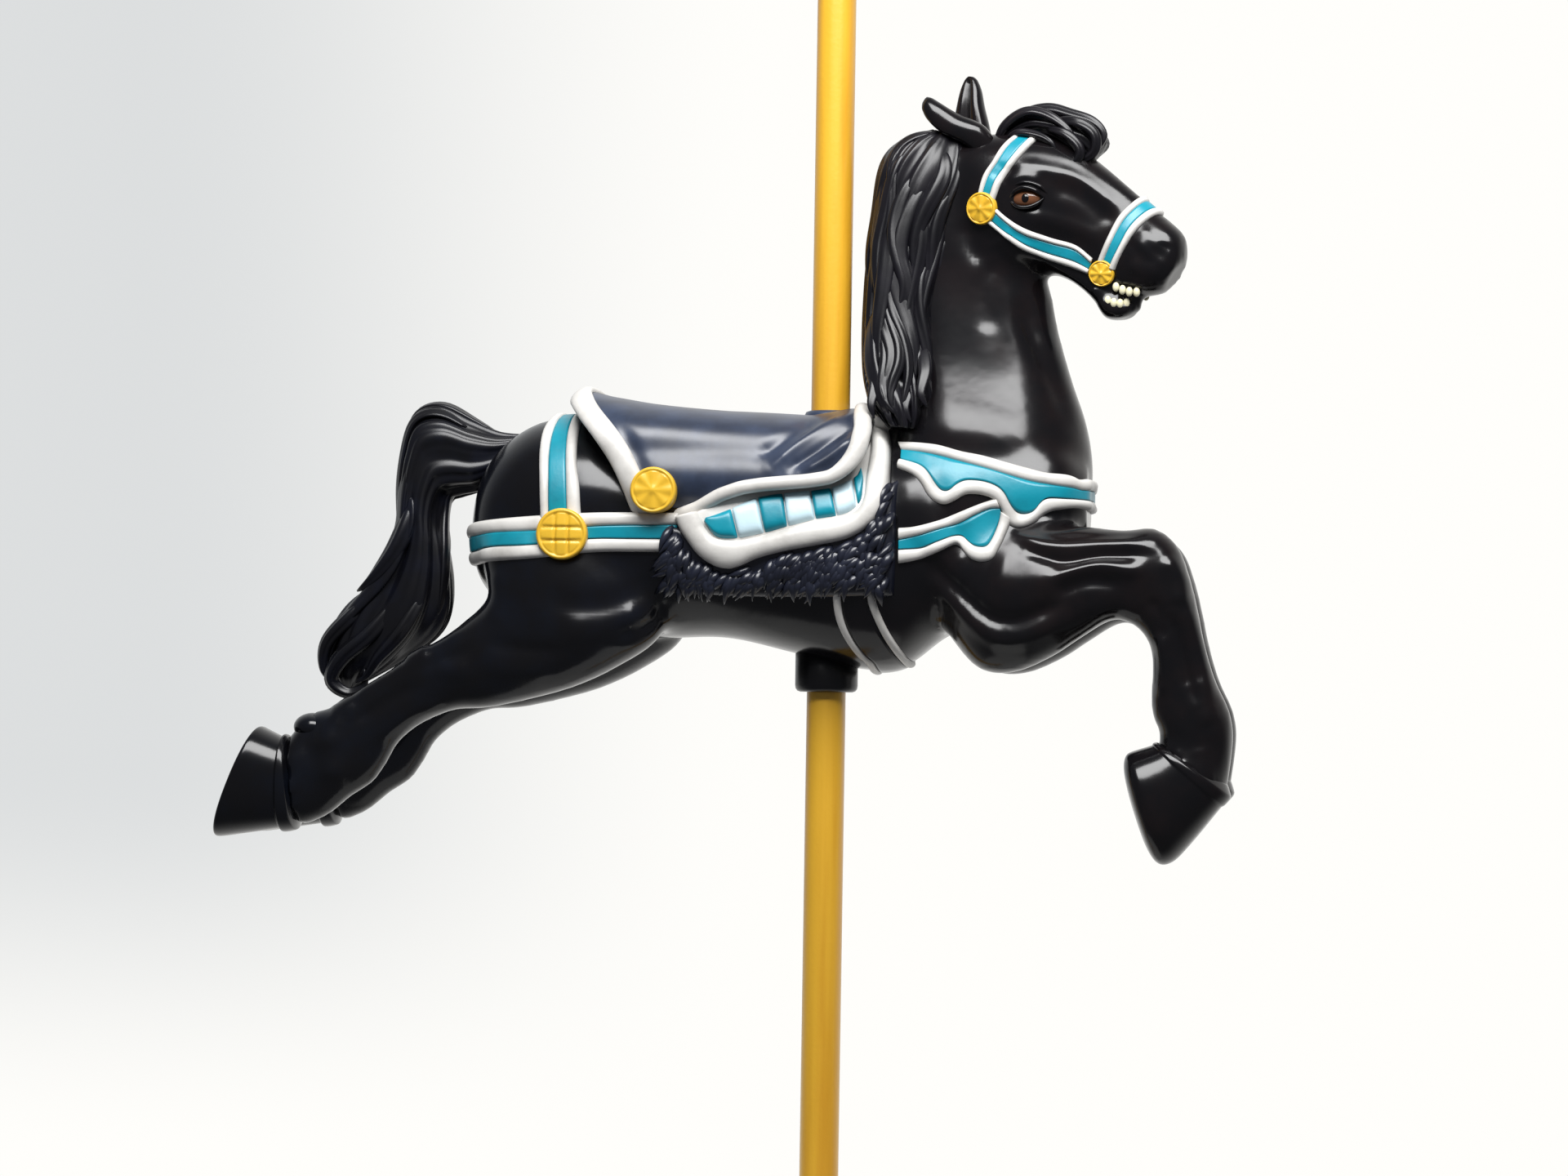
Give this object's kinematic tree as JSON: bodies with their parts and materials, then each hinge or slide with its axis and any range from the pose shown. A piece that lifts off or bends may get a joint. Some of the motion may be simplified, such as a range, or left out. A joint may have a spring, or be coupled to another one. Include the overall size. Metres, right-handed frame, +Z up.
{
  "type": "carousel horse",
  "caption": "Black jumping carousel horse with saddle, harness and bridle, moulded in one and carried by a round painted pole with a collar under the belly.",
  "frame": {"origin": "the middle of the pole's lower end, where the pole stands in its socket", "axes": "+Z up along the pole, +X the way the horse faces, +Y towards the horse's left (inner) side"},
  "size_m": [1.3195, 0.33, 1.829],
  "materials": {
    "horse_enamel": "high-gloss black enamel over moulded fibreglass",
    "pole_paint": "golden yellow gloss paint on steel tube",
    "collar_enamel": "gloss black enamel on a cast clamp collar",
    "saddle_enamel": "dark navy gloss enamel",
    "fur_enamel": "dark navy enamel over carved fur",
    "trim_white": "silvery white gloss enamel",
    "strap_turquoise": "turquoise gloss enamel",
    "quilt_pale": "pale blue-white gloss enamel",
    "badge_gold": "golden yellow enamel on moulded rosettes",
    "eye_brown": "brown gloss enamel",
    "teeth_cream": "cream gloss enamel"
  },
  "bodies": {
    "root": {"horse": "horse_enamel", "pole": "pole_paint", "pole_collar": "collar_enamel"}
  },
  "joints": []
}
